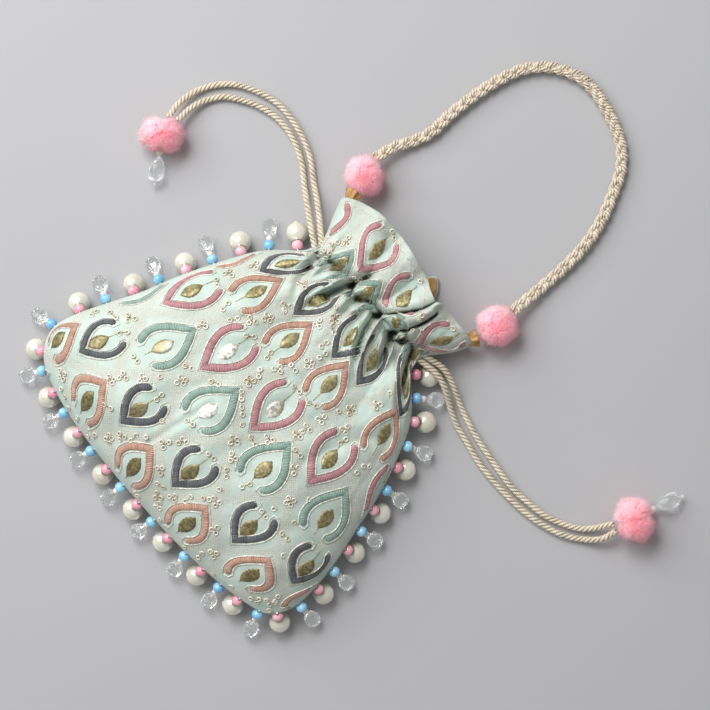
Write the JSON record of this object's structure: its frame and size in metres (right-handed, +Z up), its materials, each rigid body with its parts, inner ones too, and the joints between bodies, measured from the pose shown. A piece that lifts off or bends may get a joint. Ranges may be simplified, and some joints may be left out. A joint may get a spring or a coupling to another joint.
{
  "type": "reticule, a drawstring potli pouch",
  "caption": "Soft drawstring pouch of embroidered silk with a gathered neck, ruffled rim, corded top handle, pompoms, and pearl and crystal drops along its seam, lying flat.",
  "frame": {"origin": "under the belly on the back panel's flat rest face, on the floor", "axes": "+Y from the bottom seam to the mouth, +X along the bottom seam, +Z up through the front panel"},
  "size_m": [0.335, 0.3392, 0.0402],
  "materials": {
    "silk": "mint green silk with raised embroidery",
    "gold_satin": "gold-brown satin",
    "beige_cord": "twisted shiny beige cord",
    "pink_yarn": "fluffy pink yarn",
    "pearl": "pearlescent, with an opaque pink bead above",
    "crystal": "clear faceted, with an opaque blue bead above"
  },
  "bodies": {
    "root": {"pouch": "silk", "frill_lining": "gold_satin", "pearl_drop_01": "pearl", "crystal_drop_02": "crystal", "pearl_drop_03": "pearl", "crystal_drop_04": "crystal", "pearl_drop_05": "pearl", "crystal_drop_06": "crystal", "pearl_drop_07": "pearl", "crystal_drop_08": "crystal", "pearl_drop_09": "pearl", "crystal_drop_10": "crystal", "pearl_drop_11": "pearl", "crystal_drop_12": "crystal", "pearl_drop_13": "pearl", "crystal_drop_14": "crystal", "pearl_drop_15": "pearl", "crystal_drop_16": "crystal", "pearl_drop_17": "pearl", "crystal_drop_18": "crystal", "pearl_drop_19": "pearl", "crystal_drop_20": "crystal", "pearl_drop_21": "pearl", "crystal_drop_22": "crystal", "pearl_drop_23": "pearl", "crystal_drop_24": "crystal", "pearl_drop_25": "pearl", "crystal_drop_26": "crystal", "pearl_drop_27": "pearl", "crystal_drop_28": "crystal", "pearl_drop_29": "pearl", "crystal_drop_30": "crystal", "pearl_drop_31": "pearl", "crystal_drop_32": "crystal", "pearl_drop_33": "pearl", "crystal_drop_34": "crystal", "pearl_drop_35": "pearl", "crystal_drop_36": "crystal", "pearl_drop_37": "pearl", "crystal_drop_38": "crystal", "pearl_drop_39": "pearl", "handle_tab_left": "gold_satin", "handle_pompom_left": "pink_yarn", "handle_tab_right": "gold_satin", "handle_pompom_right": "pink_yarn", "handle": "beige_cord", "drawstring_left_outer": "beige_cord", "drawstring_left_inner": "beige_cord", "drawstring_right_upper": "beige_cord", "drawstring_right_lower": "beige_cord", "end_pompom_left": "pink_yarn", "end_pendant_left": "crystal", "end_pompom_right": "pink_yarn", "end_pendant_right": "crystal"}
  },
  "joints": []
}
